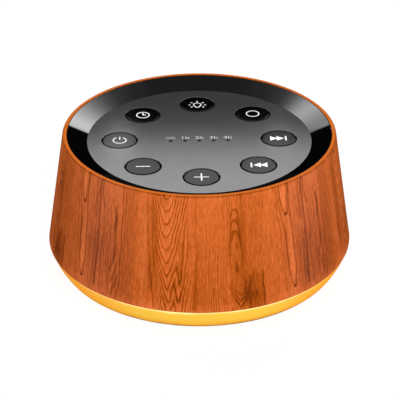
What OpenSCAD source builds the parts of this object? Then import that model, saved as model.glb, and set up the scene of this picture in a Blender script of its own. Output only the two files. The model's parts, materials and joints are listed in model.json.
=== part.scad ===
// White noise sound machine: a tapered wood-look body with a control deck of eight buttons,
// a light ring round its foot, and a loudspeaker that plays down through the base.
// Millimetres, +Z up. The origin is the middle of the base, on the table. The front is -Y
// and the power inlet is at the back, +Y.

/* [Body] */
// Widest diameter of the body, near the foot of the sleeve
body_d = 110; // [100:0.5:140]
// Height from the table to the rim
body_h = 51; // [49:0.5:80]
// Outer diameter of the sleeve at its rim
rim_d = 97.7; // [90:0.1:120]
// Thickness of the sleeve's wall
wall = 2; // [1.6:0.1:3]
// Width of the lip that shows round the bezel
lip_w = 1.55; // [1:0.05:3]
// Radius of the rounding at the sleeve's rim
rim_round = 0.75; // [0.5:0.05:0.8]
// Radius of the rounding at the sleeve's foot
edge_r = 0.4; // [0.2:0.05:0.8]

/* [Control deck] */
// Diameter of the control panel
panel_d = 80.1; // [78:0.1:84]
// Depth of the panel below the rim
panel_drop = 3.4; // [2:0.1:6]
// Thickness of the control panel
panel_t = 1.2; // [0.8:0.1:2]
// Thickness of the deck's floor under the panel
floor_t = 1.6; // [1.2:0.1:2.4]
// Diameter of the circle that the buttons stand on
button_circle_d = 56.9; // [54:0.1:58]
// Diameter of a button's crown
button_d = 12; // [9:0.1:14.5]
// Gap between a crown and the edge of its hole
button_gap = 0.4; // [0.2:0.05:0.5]
// How far a button goes down
button_travel = 0.5; // [0.25:0.05:0.7]
// Distance between two timer lights
timer_pitch = 5.1; // [4:0.1:6]
// Diameter of a timer light's pin hole
timer_hole_d = 0.9; // [0.6:0.1:1.4]

/* [Light ring] */
// Height of the light ring that shows under the sleeve
ring_h = 8.2; // [6:0.1:12]
// Diameter of the light ring at its foot
ring_foot_d = 101.4; // [94:0.5:130]
// Thickness of the light ring's wall
ring_wall = 2; // [1.5:0.1:3]
// Number of lights in the ring
ring_led_count = 12; // [6:1:18]

/* [Base] */
// How far the rubber feet stand out under the base
foot_drop = 0.7; // [0.6:0.1:3]
// Diameter of a rubber foot
foot_d = 10; // [7:0.5:11]
// Thickness of the base plate
base_t = 2; // [1.6:0.1:3]

/* [Loudspeaker] */
// Diameter of the loudspeaker's frame
speaker_d = 54.4; // [45:0.1:56]
// Diameter of its magnet
magnet_d = 32; // [26:0.5:36]
// How far the cone moves to either side
cone_travel = 0.8; // [0.4:0.1:1.2]

/* [Power inlet] */
// Height of the inlet's middle above the table
inlet_z = 20; // [18:0.5:28]
// Width of the inlet's metal shell
inlet_w = 8.94; // [8:0.01:10]
// Height of the inlet's metal shell
inlet_h = 3.2; // [3:0.05:4]

/* [Hidden] */
$fn = 64;

// Clearances
fit = 0.1;            // pieces that sit in each other
slide_fit = 0.05;     // a switch's plunger in its body
thread_fit = 0.02;    // a screw in the hole that it cuts
cut = 1;              // how far a cutter runs past what it cuts

// Heights of the stack, from the table up
base_z = foot_drop;
plate_z = base_z + base_t;             // upper face of the base plate
sleeve_z = base_z + ring_h;            // lower edge of the sleeve
tongue_h = 3.4;                        // light ring's tongue inside the sleeve
panel_z = body_h - panel_drop;         // face of the control panel
floor_z = panel_z - panel_t;           // upper face of the deck's floor
under_z = floor_z - floor_t;           // lower face of the deck's floor
switch_h = 5;                          // a switch with its plunger
switch_case_h = 3.5;
switch_w = 6;
board_gap = 7.2;                       // from the deck's floor to the board
board_t = 1.6;
board_z = under_z - board_gap;         // upper face of the control board
board_under = board_z - board_t;

// Radii of the bezel, the deck and the sleeve's mouth
body_r = body_d / 2;
rim_r = rim_d / 2;
lip_r = rim_r - lip_w;
panel_r = panel_d / 2;
bezel_r = lip_r - fit;
bezel_z = body_h - 0.2;                // top edge of the bezel, just under the lip
bezel_t = 1.6;                         // wall of the bezel's slope
flange_drop = 2.4;                     // rim to the ledge that carries the deck
ledge_z = body_h - flange_drop;
ledge_w = 1.7;
ledge_t = 1.6;
skirt_t = 1.4;
skirt_r = lip_r - ledge_w - fit;
skirt_h = 2;                           // skirt below the deck
shelf_w = 1.4;                         // shelf of the bezel that the deck stands on
shelf_t = 1.4;
seam_turn = 50;                        // where the fine groove lies on the rim's rounding
seam_w = 0.3;
seam_depth = 0.2;

// Sleeve's taper: its outer radius at a height
function sleeve_r(z) =
    body_r + (rim_r - body_r) * (z - sleeve_z - edge_r) / (body_h - sleeve_z - edge_r - rim_round);
function inner_r(z) = sleeve_r(z) - wall;

// Points of an arc, and of a shallow bulge between two points
function arc(centre, r, from, to, steps = 5) =
    [for (i = [0:steps]) let (a = from + (to - from) * i / steps)
        centre + r * [cos(a), sin(a)]];
function bulge(p, q, height, steps = 8) =
    let (way = q - p, normal = [way[1], -way[0]] / norm(way))
    [for (i = [0:steps]) let (t = i / steps) p + t * way + 4 * height * t * (1 - t) * normal];

// Buttons, counted from the right and anticlockwise as seen from above
buttons = ["next", "circle", "light", "timer", "power", "volume_down", "volume_up", "previous"];
button_step = 360 / len(buttons);
button_r = button_d / 2;
hole_r = button_r + button_gap;
cap_flange_w = 1;
cap_flange_t = 1;
cap_flange_r = button_r + cap_flange_w;
cap_wall = 1.1;
cap_crown_t = 1.4;
cap_edge_r = 0.3;
cap_flange_z = under_z - fit;
cap_stem_r = 1.9;
key_w = 1.8;                           // key that stops a cap from turning
key_out = 0.9;
collar_r = cap_flange_r + 0.35;
collar_t = 1;
collar_h = 2.8;
plunger_r = 1.7;
plunger_foot = 1.6;                    // from the board to a plunger's lower end

// Pillars, posts and screws
pillar_step = 90;
pillar_turn = button_step / 2;
pillar_circle_r = min(button_circle_d / 2 + 7.6, skirt_r - skirt_t - 4);
pillar_top_r = 3.6;
pillar_foot_r = 3;
pillar_z = plate_z + 4;                // where a pillar stands on its boss
boss_r = 4.6;
post_circle_r = button_circle_d / 2 - 10.4;
post_r = 2.4;
case_screw_r = 1.5;
case_head_r = 2.8;
case_head_h = 2;
case_screw_l = 16;
small_screw_r = 1;
small_head_r = 2;
small_head_h = 1.3;
small_screw_l = 6;

// Light ring and base
base_r = ring_foot_d / 2 - 2.2;
ring_lip_r = base_r - 2;
ring_lip_t = 1.4;
ring_lip_z = base_z + 1.5;
ring_edge = 0.4;
light_board_t = 1.2;
light_board_z = plate_z + 1.6;
light_board_r = ring_lip_r;
light_board_w = 4.8;
light_track_r = light_board_r - light_board_w / 2;
stake_count = 3;
stake_r = 0.9;
foot_circle_r = light_track_r - 3;
foot_pocket = 0.9;
foot_turn = pillar_turn + pillar_step / 2;

// Loudspeaker, from its seat up
speaker_r = speaker_d / 2;
seat_r = speaker_r - 2.3;              // inner radius of the seat's wall
seat_t = 2.5;
seat_h = 2.5;
seat_z = plate_z + seat_h;
gasket_t = 1;
frame_z = seat_z + gasket_t;
frame_t = 0.8;
frame_back_r = magnet_d / 2 + 0.4;
frame_back_z = frame_z + 9.2;
grille_t = 0.8;
grille_r = seat_r - 0.3;
grille_window_r = grille_r - 2.2;
grille_hole_r = 0.9;
grille_pitch = 3.4;
ear_circle_r = speaker_r + 2.3;
ear_r = 3.1;
ear_post_r = 2.1;
ear_turn = 45;
top_plate_z = frame_back_z + frame_t;
top_plate_t = 2;
magnet_t = 6;
magnet_z = top_plate_z + top_plate_t;
yoke_t = 2;
yoke_z = magnet_z + magnet_t;
pole_r = 6.1;
gap_w = 1.1;                           // magnet gap that the coil moves in
coil_in_r = pole_r + 0.25;
coil_out_r = pole_r + gap_w - 0.35;
coil_z = frame_z + 6.3;
coil_l = magnet_z - coil_z + cone_travel + 0.9;
cone_edge_r = speaker_r - 8.4;
cone_lip_w = 1.2;
roll_r = 1.4;
sheet_t = 0.4;

// Power inlet and its board
inlet_l = 7.4;
inlet_skin = 0.3;
inlet_face_y = sleeve_r(inlet_z) - 0.4;
inlet_board_t = 1.2;
inlet_board_z = inlet_z - inlet_h / 2 - inlet_board_t;
inlet_board_w = 16;
inlet_board_l = 12.5;
inlet_board_y = sqrt(pow(inner_r(inlet_z), 2) - pow(inlet_board_w / 2, 2)) - 0.5;
bracket_x = 6;
bracket_w = 4.4;
bracket_t = 3;
bracket_l = 7;

// Leads inside the case, each a jacket round its wires, from a solder pad to a plug
lead_r = 1;
plug_z = board_under - 5.8;
strip_z = frame_z + frame_t;
strip_h = 4.6;
speaker_lead_path = [
    [-26, 0, strip_z + strip_h], [-26, 0, 14.2], [-26.5, 0.2, 17], [-27.6, 0.8, 20],
    [-28.8, 1.6, 23], [-29.7, 2.5, 26], [-30, 3, 28.4], [-30, 3, plug_z]];
light_lead_path = [
    [21.8, 37.8, light_board_z + light_board_t], [21.8, 37.8, 8.2], [21.7, 37.5, 11.4],
    [21.6, 36.9, 14.6], [21.4, 35.6, 17.8], [21, 33.8, 20.8], [20.6, 31.4, 23.6],
    [20.2, 28.6, 26], [20, 26.4, 27.8], [20, 26, 29], [20, 26, plug_z]];
power_lead_path = [
    [0, 42, inlet_z - inlet_h / 2], [0, 42, 20.2], [0.2, 41.4, 22.6], [0.8, 39.6, 24.8],
    [1.6, 36.8, 26.6], [2, 33.8, 27.8], [2, 32.2, 28.6], [2, 32, 29.4], [2, 32, plug_z]];

// Copies of what stands round the axis
module ring_of(count, r, turn = 0) {
    for (i = [0:count - 1])
        rotate([0, 0, turn + i * 360 / count]) translate([r, 0, 0]) children();
}

module at_pillars() { ring_of(360 / pillar_step, pillar_circle_r, pillar_turn) children(); }
module at_posts() { ring_of(360 / pillar_step, post_circle_r, pillar_turn) children(); }
module at_ears() { ring_of(4, ear_circle_r, ear_turn) children(); }
module at_feet() { ring_of(4, foot_circle_r, foot_turn) children(); }
module at_button(name) {
    place = search([name], buttons)[0];
    rotate([0, 0, place * button_step]) translate([button_circle_d / 2, 0, 0]) children();
}
module at_timer_leds() {
    for (i = [-2:2]) translate([i * timer_pitch, -1, 0]) children();
}
module bar(r, z0, z1) { translate([0, 0, z0]) cylinder(r = r, h = z1 - z0); }
module block(size, z0) { translate([-size[0] / 2, -size[1] / 2, z0]) cube(size); }
// A slot's outline, round at both ends, w wide and h high
module slot_outline(w, h) {
    square([w - h, h], center = true);
    for (x = [-1, 1]) translate([x * (w - h) / 2, 0]) circle(d = h);
}
// Turns an outline into a prism along +Y that starts at y
module along_y(y, l) { translate([0, y + l, 0]) rotate([90, 0, 0]) linear_extrude(l) children(); }

// ---------------------------------------------------------------- case

module sleeve_section() {
    neck_z = ledge_z - ledge_t;
    round_at = [rim_r - rim_round, body_h - rim_round];
    seam_half = asin(seam_w / 2 / rim_round);
    polygon(concat(
        [[inner_r(sleeve_z), sleeve_z]],
        arc([body_r - edge_r, sleeve_z + edge_r], edge_r, -90, 0),
        arc(round_at, rim_round, 0, seam_turn - seam_half),
        [round_at + (rim_round - seam_depth) * [cos(seam_turn), sin(seam_turn)]],
        arc(round_at, rim_round, seam_turn + seam_half, 90),
        [[lip_r, body_h], [lip_r, ledge_z], [lip_r - ledge_w, ledge_z],
         [lip_r - ledge_w, neck_z], [inner_r(neck_z - 1.8), neck_z - 1.8]]));
}

// A solid that fills the sleeve to half of its wall, to trim what grows from that wall
module sleeve_core() {
    translate([0, 0, sleeve_z + edge_r])
        cylinder(r1 = body_r - wall / 2, r2 = rim_r - wall / 2,
                 h = body_h - sleeve_z - edge_r - rim_round);
}

module sleeve_ribs() {
    rib_t = 1.2;
    rib_w = 1.6;
    rib_z = sleeve_z + tongue_h + 1.5;
    rib_top = ledge_z - ledge_t - 4;
    for (i = [0:7])
        rotate([0, 0, i * 45])
            translate([inner_r(rib_z) - rib_w - 3, -rib_t / 2, rib_z])
                cube([8, rib_t, rib_top - rib_z]);
}

module bracket_blocks() {
    for (x = [-1, 1])
        translate([x * bracket_x - bracket_w / 2, inlet_board_y - bracket_l - 1,
                   inlet_board_z - bracket_t])
            cube([bracket_w, bracket_l + 12, bracket_t]);
}

module bracket_holes() {
    for (x = [-1, 1])
        translate([x * bracket_x, inlet_board_y - bracket_l + 1, 0])
            bar(small_screw_r + thread_fit, inlet_board_z - bracket_t - cut, inlet_board_z + cut);
}

module sleeve() {
    color("#c8622c") difference() {
        union() {
            rotate_extrude() sleeve_section();
            intersection() {
                sleeve_core();
                bracket_blocks();
            }
            difference() {
                intersection() {
                    sleeve_core();
                    sleeve_ribs();
                }
                // leaves each rib as tall as it is wide, all the way up the taper
                rotate_extrude() polygon([
                    [0, sleeve_z], [inner_r(sleeve_z) - 1.6, sleeve_z],
                    [inner_r(body_h) - 1.6, body_h], [0, body_h]]);
                translate([0, body_r, inlet_z])
                    cube([inlet_board_w + 2, 30, 12], center = true);
            }
        }
        bracket_holes();
        translate([0, 0, inlet_z]) along_y(body_r - 12, 14)
            slot_outline(inlet_w + 0.6, inlet_h + 0.6);
    }
}

// The sloping ring between the rim and the panel. Its flange lies on the sleeve's ledge, and
// the deck stands on its shelf.
module bezel_section() {
    in_r = panel_r + fit / 2;
    slope = (bezel_z - panel_z) / (bezel_r - in_r);
    wall_r = in_r + skirt_t;
    skirt_in = skirt_r - skirt_t;
    function under_slope(r) = panel_z + (r - in_r) * slope - bezel_t;
    polygon([
        [in_r, under_z], [panel_r - shelf_w, under_z], [panel_r - shelf_w, under_z - shelf_t],
        [wall_r, under_z - shelf_t], [wall_r, under_slope(wall_r)],
        [skirt_in, under_slope(skirt_in)], [skirt_in, under_z - skirt_h],
        [skirt_r, under_z - skirt_h], [skirt_r, ledge_z], [bezel_r, ledge_z],
        [bezel_r, bezel_z - 0.15], [bezel_r - 0.15, bezel_z], [in_r, panel_z]]);
}

module deck_bezel() {
    color("#0b0b0c") difference() {
        rotate_extrude() bezel_section();
        // room for the deck's pillars
        at_pillars() bar(pillar_top_r + 0.3, under_z - shelf_t - cut, under_z);
    }
}

module pillar() {
    web_t = 1.2;
    translate([0, 0, pillar_z])
        cylinder(r1 = pillar_foot_r, r2 = pillar_top_r, h = under_z - pillar_z + floor_t / 2);
    for (a = [-1, 1])
        rotate([0, 0, a * 90]) rotate([90, 0, 0]) translate([0, 0, -web_t / 2])
            linear_extrude(web_t) polygon([
                [0, under_z + floor_t / 2], [pillar_top_r + 1.6, under_z + floor_t / 2],
                [pillar_top_r - 0.6, under_z - 5], [0, under_z - 5]]);
}

// Flat deck with a guide collar for each button and pillars down to the base
module top_deck() {
    color("#1a1a1b") difference() {
        union() {
            bar(panel_r - fit / 2, under_z, floor_z);
            at_pillars() pillar();
            at_posts() bar(post_r, board_z, floor_z - floor_t / 2);
            for (name = buttons) at_button(name)
                bar(collar_r + collar_t, under_z - collar_h, floor_z - floor_t / 2);
        }
        for (name = buttons) at_button(name) {
            bar(hole_r, under_z - collar_h - cut, floor_z + cut);
            bar(collar_r, under_z - collar_h - cut, under_z);
            translate([collar_r - 1, -key_w / 2 - 0.2, under_z - collar_h - cut])
                cube([collar_t + 1 + cut, key_w + 0.4, collar_h + cut]);
        }
        at_timer_leds() bar(timer_hole_d / 2 + 0.4, under_z - cut, floor_z + cut);
        at_pillars() bar(case_screw_r + thread_fit, pillar_z - cut, pillar_z + 14);
        at_posts() bar(small_screw_r + thread_fit, board_z - cut, board_z + 5.5);
    }
}

module control_panel() {
    bevel = 0.2;
    color("#3a3a3c") difference() {
        bar(panel_r, floor_z, panel_z);
        for (name = buttons) at_button(name) {
            bar(hole_r, floor_z - cut, panel_z + cut);
            translate([0, 0, panel_z - bevel])
                cylinder(r1 = hole_r, r2 = hole_r + 2 * bevel, h = 2 * bevel);
        }
        at_timer_leds() bar(timer_hole_d / 2, floor_z - cut, panel_z + cut);
    }
}

module light_ring_section() {
    foot = [ring_foot_d / 2, base_z + ring_edge];
    head = [body_r - 0.3, sleeve_z];
    tongue_z = sleeve_z + tongue_h;
    polygon(concat(
        [[base_r + fit, ring_lip_z], [base_r + fit, base_z],
         [ring_foot_d / 2 - ring_edge, base_z]],
        bulge(foot, head, 0.38),
        [[inner_r(sleeve_z) - 0.15, sleeve_z], [inner_r(tongue_z) - 0.15, tongue_z],
         [inner_r(tongue_z) - 1.6, tongue_z], [inner_r(sleeve_z) - 1.7, sleeve_z],
         [ring_foot_d / 2 - ring_wall + 1, ring_lip_z + ring_lip_t],
         [ring_lip_r, ring_lip_z + ring_lip_t], [ring_lip_r, ring_lip_z]]));
}

module light_ring() {
    color("#ffcc4a") rotate_extrude() light_ring_section();
}

module base_section() {
    polygon([
        [grille_window_r, base_z], [base_r - 0.4, base_z], [base_r, base_z + 0.4],
        [base_r, ring_lip_z], [ring_lip_r - fit, ring_lip_z], [ring_lip_r - fit, plate_z],
        [light_track_r + 1, plate_z], [light_track_r + 1, light_board_z],
        [light_track_r - 1, light_board_z], [light_track_r - 1, plate_z],
        [seat_r + seat_t, plate_z], [seat_r + seat_t, seat_z], [seat_r, seat_z],
        [seat_r, plate_z - grille_t - 0.1], [grille_window_r, plate_z - grille_t - 0.1]]);
}

// A pin through the light board, with the head that melting it leaves on the board
module heat_stake() {
    bar(stake_r, light_board_z - 0.5, light_board_z + light_board_t);
    translate([0, 0, light_board_z + light_board_t])
        cylinder(r1 = stake_r + 0.7, r2 = stake_r, h = 0.6);
}

module base_cover() {
    head_seat = pillar_z - 2.8;
    color("#191919") difference() {
        union() {
            rotate_extrude() base_section();
            at_pillars() bar(boss_r, plate_z - 0.5, pillar_z);
            at_ears() bar(ear_post_r, plate_z - 0.5, frame_z);
            ring_of(stake_count, light_track_r, 15) heat_stake();
            // stiffening ribs from the seat to the light board's track
            for (i = [0:7]) rotate([0, 0, i * 45])
                translate([seat_r + 1, -0.6, plate_z - 0.5])
                    cube([light_track_r - seat_r - 1, 1.2, 1.6]);
        }
        at_pillars() {
            bar(case_screw_r + 0.2, base_z - cut, pillar_z + cut);
            bar(case_head_r + 0.4, base_z - cut, head_seat);
        }
        at_ears() bar(small_screw_r + thread_fit, plate_z, frame_z + cut);
        at_feet() bar(foot_d / 2 + 0.15, base_z - cut, base_z + foot_pocket);
    }
}

// Perforated steel disc: rings of holes, six more in each ring than in the one before
module speaker_grille() {
    rings = floor((grille_window_r - grille_hole_r - 0.4) / grille_pitch);
    color("#2a2a2b") translate([0, 0, plate_z - grille_t - 0.1]) difference() {
        cylinder(r = grille_r, h = grille_t);
        translate([0, 0, -cut]) cylinder(r = grille_hole_r, h = grille_t + 2 * cut);
        for (k = [1:rings]) ring_of(6 * k, k * grille_pitch)
            translate([0, 0, -cut]) cylinder(r = grille_hole_r, h = grille_t + 2 * cut);
    }
}

module foot_pads() {
    color("#262626") at_feet() rotate_extrude() polygon(concat(
        [[0, 0], [foot_d / 2 - 0.6, 0]],
        arc([foot_d / 2 - 0.6, 0.6], 0.6, -90, 0, 3),
        [[foot_d / 2, foot_drop + foot_pocket], [0, foot_drop + foot_pocket]]));
}

// A pan-head screw that points up, with its head's seat at z = 0 and a cross recess below
module screw(shank_r, length, head_r, head_h) {
    difference() {
        union() {
            cylinder(r = shank_r, h = length);
            rotate_extrude() polygon(concat(
                [[0, 0], [head_r, 0], [head_r, -head_h * 0.45]],
                arc([head_r - head_h * 0.55, -head_h * 0.45], head_h * 0.55, 0, -90, 3),
                [[0, -head_h]]));
        }
        for (a = [0, 90]) rotate([0, 0, a]) translate([0, 0, -head_h])
            cube([head_r * 1.1, head_h * 0.28, head_h * 0.9], center = true);
    }
}

module case_screws() {
    color("#9a9a98") at_pillars() translate([0, 0, pillar_z - 2.8])
        screw(case_screw_r, case_screw_l, case_head_r, case_head_h);
}

// ---------------------------------------------------------------- buttons

module cap() {
    crown_z = panel_z - cap_crown_t;
    foot_z = cap_flange_z - cap_flange_t;
    rotate_extrude() polygon(concat(
        [[0, crown_z], [0, panel_z]],
        arc([button_r - cap_edge_r, panel_z - cap_edge_r], cap_edge_r, 90, 0, 4),
        [[button_r, cap_flange_z], [cap_flange_r, cap_flange_z], [cap_flange_r, foot_z],
         [button_r - cap_wall, foot_z], [button_r - cap_wall, crown_z]]));
    bar(cap_stem_r, board_z + switch_h, crown_z + 0.5);
    for (a = [45, 135]) rotate([0, 0, a])
        block([2 * (button_r - cap_wall) + 0.6, 0.9, crown_z + 0.5 - foot_z - 0.4], foot_z + 0.4);
    translate([cap_flange_r - 0.5, -key_w / 2, foot_z])
        cube([key_out + 0.5, key_w, cap_flange_t]);
}

module button_cap(name) { color("#141415") at_button(name) cap(); }

module plunger(name) {
    color("#e9e6dc") at_button(name) rotate_extrude() polygon([
        [0, board_z + plunger_foot], [plunger_r, board_z + plunger_foot],
        [plunger_r, board_z + switch_h - 0.3], [plunger_r - 0.3, board_z + switch_h],
        [0, board_z + switch_h]]);
}

// ---------------------------------------------------------------- control board

module control_board() {
    board_r = skirt_r - skirt_t - 4.6;
    color("#1d5a34") difference() {
        bar(board_r, board_under, board_z);
        at_pillars() bar(pillar_top_r + 0.5, board_under - cut, board_z + cut);
        at_posts() bar(small_screw_r + 0.2, board_under - cut, board_z + cut);
    }
}

module board_screws() {
    color("#9a9a98") at_posts() translate([0, 0, board_under])
        screw(small_screw_r, small_screw_l, small_head_r, small_head_h);
}

module tact_switches() {
    foot = [1, 0.7, 0.25];
    color("#b9bcc0") for (name = buttons) at_button(name) difference() {
        union() {
            block([switch_w, switch_w, switch_case_h], board_z);
            for (x = [-1, 1], y = [-1, 1])
                translate([x * (switch_w / 2 + 0.3), y * 2.25, 0]) block(foot, board_z);
        }
        bar(plunger_r + slide_fit, board_z + plunger_foot - button_travel - 0.2,
            board_z + switch_case_h + cut);
    }
}

module timer_leds() {
    color("#f2efe2") at_timer_leds() block([1.6, 0.8, 0.7], board_z);
}

// Keeps each timer light to its own pin hole
module led_shroud() {
    color("#202020") difference() {
        translate([0, -1, 0])
            block([5 * timer_pitch + 0.6, 5, under_z - board_z], board_z);
        at_timer_leds() bar(1.3, board_z - cut, under_z + cut);
    }
}

// A chip under the board: a body of size [x, y, z] with a row of legs on two sides
module chip(size, legs) {
    pitch = 1.27;
    leg = [0.4, 1, 0.2];
    block([size[0], size[1], size[2]], board_under - size[2] - 0.1);
    for (i = [0:legs - 1], side = [-1, 1])
        translate([(i - (legs - 1) / 2) * pitch, side * (size[1] / 2 + 0.3), 0]) {
            block(leg, board_under - leg[2]);
            translate([0, -side * 0.4, 0]) block([0.4, 0.25, 0.9], board_under - 0.9);
        }
}

module sound_chip() {
    color("#17171a") translate([-12, -14, 0]) chip([18, 7.5, 2.3], 14);
}

module small_chips() {
    color("#17171a") {
        translate([10, 14, 0]) chip([5, 4, 1.6], 4);
        translate([-12, 10, 0]) chip([5, 4, 1.6], 4);
    }
}

module capacitors() {
    can_r = 3.15;
    can_h = 5.8;
    color("#8f9499") for (p = [[14, -18], [22, -14], [24, 4]]) translate([p[0], p[1], 0]) {
        bar(can_r, board_under - can_h, board_under - 0.5);
        block([6.6, 6.6, 0.8], board_under - 0.8);
    }
}

// Sockets for the three leads, each with the plug of its lead in it
module board_sockets() {
    places = [[-30, 3, 0], [20, 26, 45], [2, 32, 90]];
    color("#ece7d8") for (p = places) translate([p[0], p[1], 0]) rotate([0, 0, p[2]]) {
        block([4.5, 6.4, 3.4], board_under - 3.4);
        block([3.4, 5, 2.6], board_under - 5.8);
    }
}

// ---------------------------------------------------------------- light ring's board

module light_board() {
    color("#f0f0ea") difference() {
        bar(light_board_r - 0.2, light_board_z, light_board_z + light_board_t);
        bar(light_board_r - light_board_w, light_board_z - cut, light_board_z + light_board_t + cut);
        ring_of(stake_count, light_track_r, 15)
            bar(stake_r + fit, light_board_z - cut, light_board_z + light_board_t + cut);
    }
}

module ring_leds() {
    color("#fff3c4") ring_of(ring_led_count, light_track_r, 90 / ring_led_count) difference() {
        block([2.8, 3.5, 1.9], light_board_z + light_board_t);
        bar(1, light_board_z + light_board_t + 1.4, light_board_z + light_board_t + 3);
    }
}

// ---------------------------------------------------------------- loudspeaker

module speaker_frame() {
    flange_in = cone_edge_r + cone_lip_w + 2 * roll_r;
    shoulder_z = frame_back_z - 2.3;
    color("#3b3d40") difference() {
        union() {
            rotate_extrude() polygon([
                [flange_in, frame_z], [speaker_r, frame_z], [speaker_r, frame_z + frame_t],
                [flange_in + 1.6, frame_z + frame_t], [frame_back_r, shoulder_z],
                [frame_back_r, frame_back_z + frame_t], [pole_r + gap_w + 0.2, frame_back_z + frame_t],
                [pole_r + gap_w + 0.2, frame_back_z], [frame_back_r - frame_t, frame_back_z],
                [frame_back_r - frame_t, shoulder_z - 0.3], [flange_in + 0.6, frame_z + frame_t]]);
            difference() {
                at_ears() bar(ear_r, frame_z, frame_z + frame_t);
                bar(speaker_r - 1, frame_z - cut, frame_z + frame_t + cut);
            }
        }
        // windows between the frame's four arms
        for (i = [0:3]) rotate([0, 0, i * 90])
            translate([frame_back_r - 3, -6.5, frame_z + frame_t + 1]) cube([12, 13, 4.4]);
        at_ears() bar(small_screw_r + 0.2, frame_z - cut, frame_z + frame_t + cut);
    }
}

module speaker_top_plate() {
    color("#a9adb1") difference() {
        bar(magnet_d / 2 - 1.5, top_plate_z, magnet_z);
        bar(pole_r + gap_w, top_plate_z - cut, magnet_z + cut);
    }
}

module speaker_magnet() {
    color("#2c2c2f") difference() {
        bar(magnet_d / 2, magnet_z, yoke_z);
        bar(pole_r + 2.4, magnet_z - cut, yoke_z + cut);
    }
}

module speaker_yoke() {
    color("#a9adb1") rotate_extrude() polygon([
        [0, top_plate_z], [pole_r, top_plate_z], [pole_r, yoke_z],
        [magnet_d / 2 - 1.5, yoke_z], [magnet_d / 2 - 1.5, yoke_z + yoke_t - 0.5],
        [magnet_d / 2 - 2, yoke_z + yoke_t], [0, yoke_z + yoke_t]]);
}

module speaker_gasket() {
    color("#3a3a3a") difference() {
        bar(speaker_r, seat_z, frame_z);
        bar(cone_edge_r + cone_lip_w + 2 * roll_r + 2.2, seat_z - cut, frame_z + cut);
    }
}

module speaker_terminals() {
    strip_r = speaker_r - 1.2;
    color("#c9a25a") rotate([0, 0, 180]) translate([strip_r, 0, 0]) {
        block([1.2, 9, strip_h], strip_z);
        for (y = [-1, 1]) translate([0, y * 2.8, 0])
            block([0.5, 1.6, 2.4], strip_z + strip_h - 0.6);
    }
}

module speaker_screws() {
    color("#9a9a98") at_ears() translate([0, 0, frame_z + frame_t]) rotate([180, 0, 0])
        screw(small_screw_r, frame_t + 2.6, small_head_r, small_head_h);
}

module speaker_cone() {
    lip_z = frame_z;
    color("#4a4640") rotate_extrude() polygon([
        [coil_out_r, coil_z + 0.1], [cone_edge_r, lip_z], [cone_edge_r + cone_lip_w, lip_z],
        [cone_edge_r + cone_lip_w, lip_z + 0.5], [cone_edge_r + 0.2, lip_z + 0.5],
        [coil_out_r, coil_z + 0.7]]);
}

module voice_coil() {
    color("#b5723a") difference() {
        bar(coil_out_r, coil_z, coil_z + coil_l);
        bar(coil_in_r, coil_z - cut, coil_z + coil_l + cut);
    }
}

// A thin dome, glued on the face of the cone in front of the coil
module dust_cap() {
    dome_w = coil_out_r + 0.8;
    dome_h = 2.2;
    dome_r = (dome_w * dome_w + dome_h * dome_h) / (2 * dome_h);
    half = asin(dome_w / dome_r);
    slope = (coil_z + 0.1 - frame_z) / (cone_edge_r - coil_out_r);
    function face_z(r) = frame_z + (cone_edge_r - r) * slope;
    glue = 0.03;
    rim_z = face_z(dome_w - sheet_t * sin(half)) - sheet_t * cos(half) - glue;
    centre = [0, rim_z - dome_h + dome_r];
    color("#2b2926") rotate_extrude() polygon(concat(
        arc(centre, dome_r, -90, half - 90, 8),
        arc(centre, dome_r - sheet_t, half - 90, -90, 8)));
}

// Half-round rubber roll between the cone's lip and the frame
module cone_surround() {
    roll_c = [cone_edge_r + cone_lip_w + roll_r, frame_z - 0.2];
    flat_z = frame_z - sheet_t;
    color("#1c1c1c") rotate_extrude() polygon(concat(
        [[cone_edge_r, frame_z], [cone_edge_r, flat_z]],
        arc(roll_c, roll_r + sheet_t / 2, 180, 360, 12),
        [[roll_c[0] + roll_r + 2.1, flat_z], [roll_c[0] + roll_r + 2.1, frame_z]],
        arc(roll_c, roll_r - sheet_t / 2, 360, 180, 12)));
}

// Pleated cloth disc that centres the coil
module cone_spider() {
    rim_in = frame_back_r - frame_t - 2.4;
    rim_out = frame_back_r - frame_t - 0.1;
    steps = 24;
    span = rim_in - coil_out_r;
    function pleat(t) = frame_back_z - 0.9 + 0.3 * sin(360 * 3 * t);
    upper = [for (i = [0:steps]) let (t = i / steps) [coil_out_r + t * span, pleat(t)]];
    lower = [for (i = [steps:-1:0]) let (t = i / steps)
        [coil_out_r + t * span, pleat(t) - sheet_t]];
    color("#b58f4e") rotate_extrude() polygon(concat(
        upper, [[rim_in, frame_back_z], [rim_out, frame_back_z],
                [rim_out, pleat(1) - sheet_t]], lower));
}

// ---------------------------------------------------------------- power inlet

module power_board() {
    color("#1d5a34") difference() {
        translate([0, inlet_board_y - inlet_board_l / 2, 0])
            block([inlet_board_w, inlet_board_l, inlet_board_t], inlet_board_z);
        for (x = [-1, 1]) translate([x * bracket_x, inlet_board_y - bracket_l + 1, 0])
            bar(small_screw_r + 0.2, inlet_board_z - cut, inlet_board_z + inlet_board_t + cut);
    }
}

module power_board_screws() {
    color("#9a9a98") for (x = [-1, 1])
        translate([x * bracket_x, inlet_board_y - bracket_l + 1, inlet_board_z + inlet_board_t])
            rotate([180, 0, 0])
                screw(small_screw_r, inlet_board_t + 2.4, small_head_r - 0.2, small_head_h);
}

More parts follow.
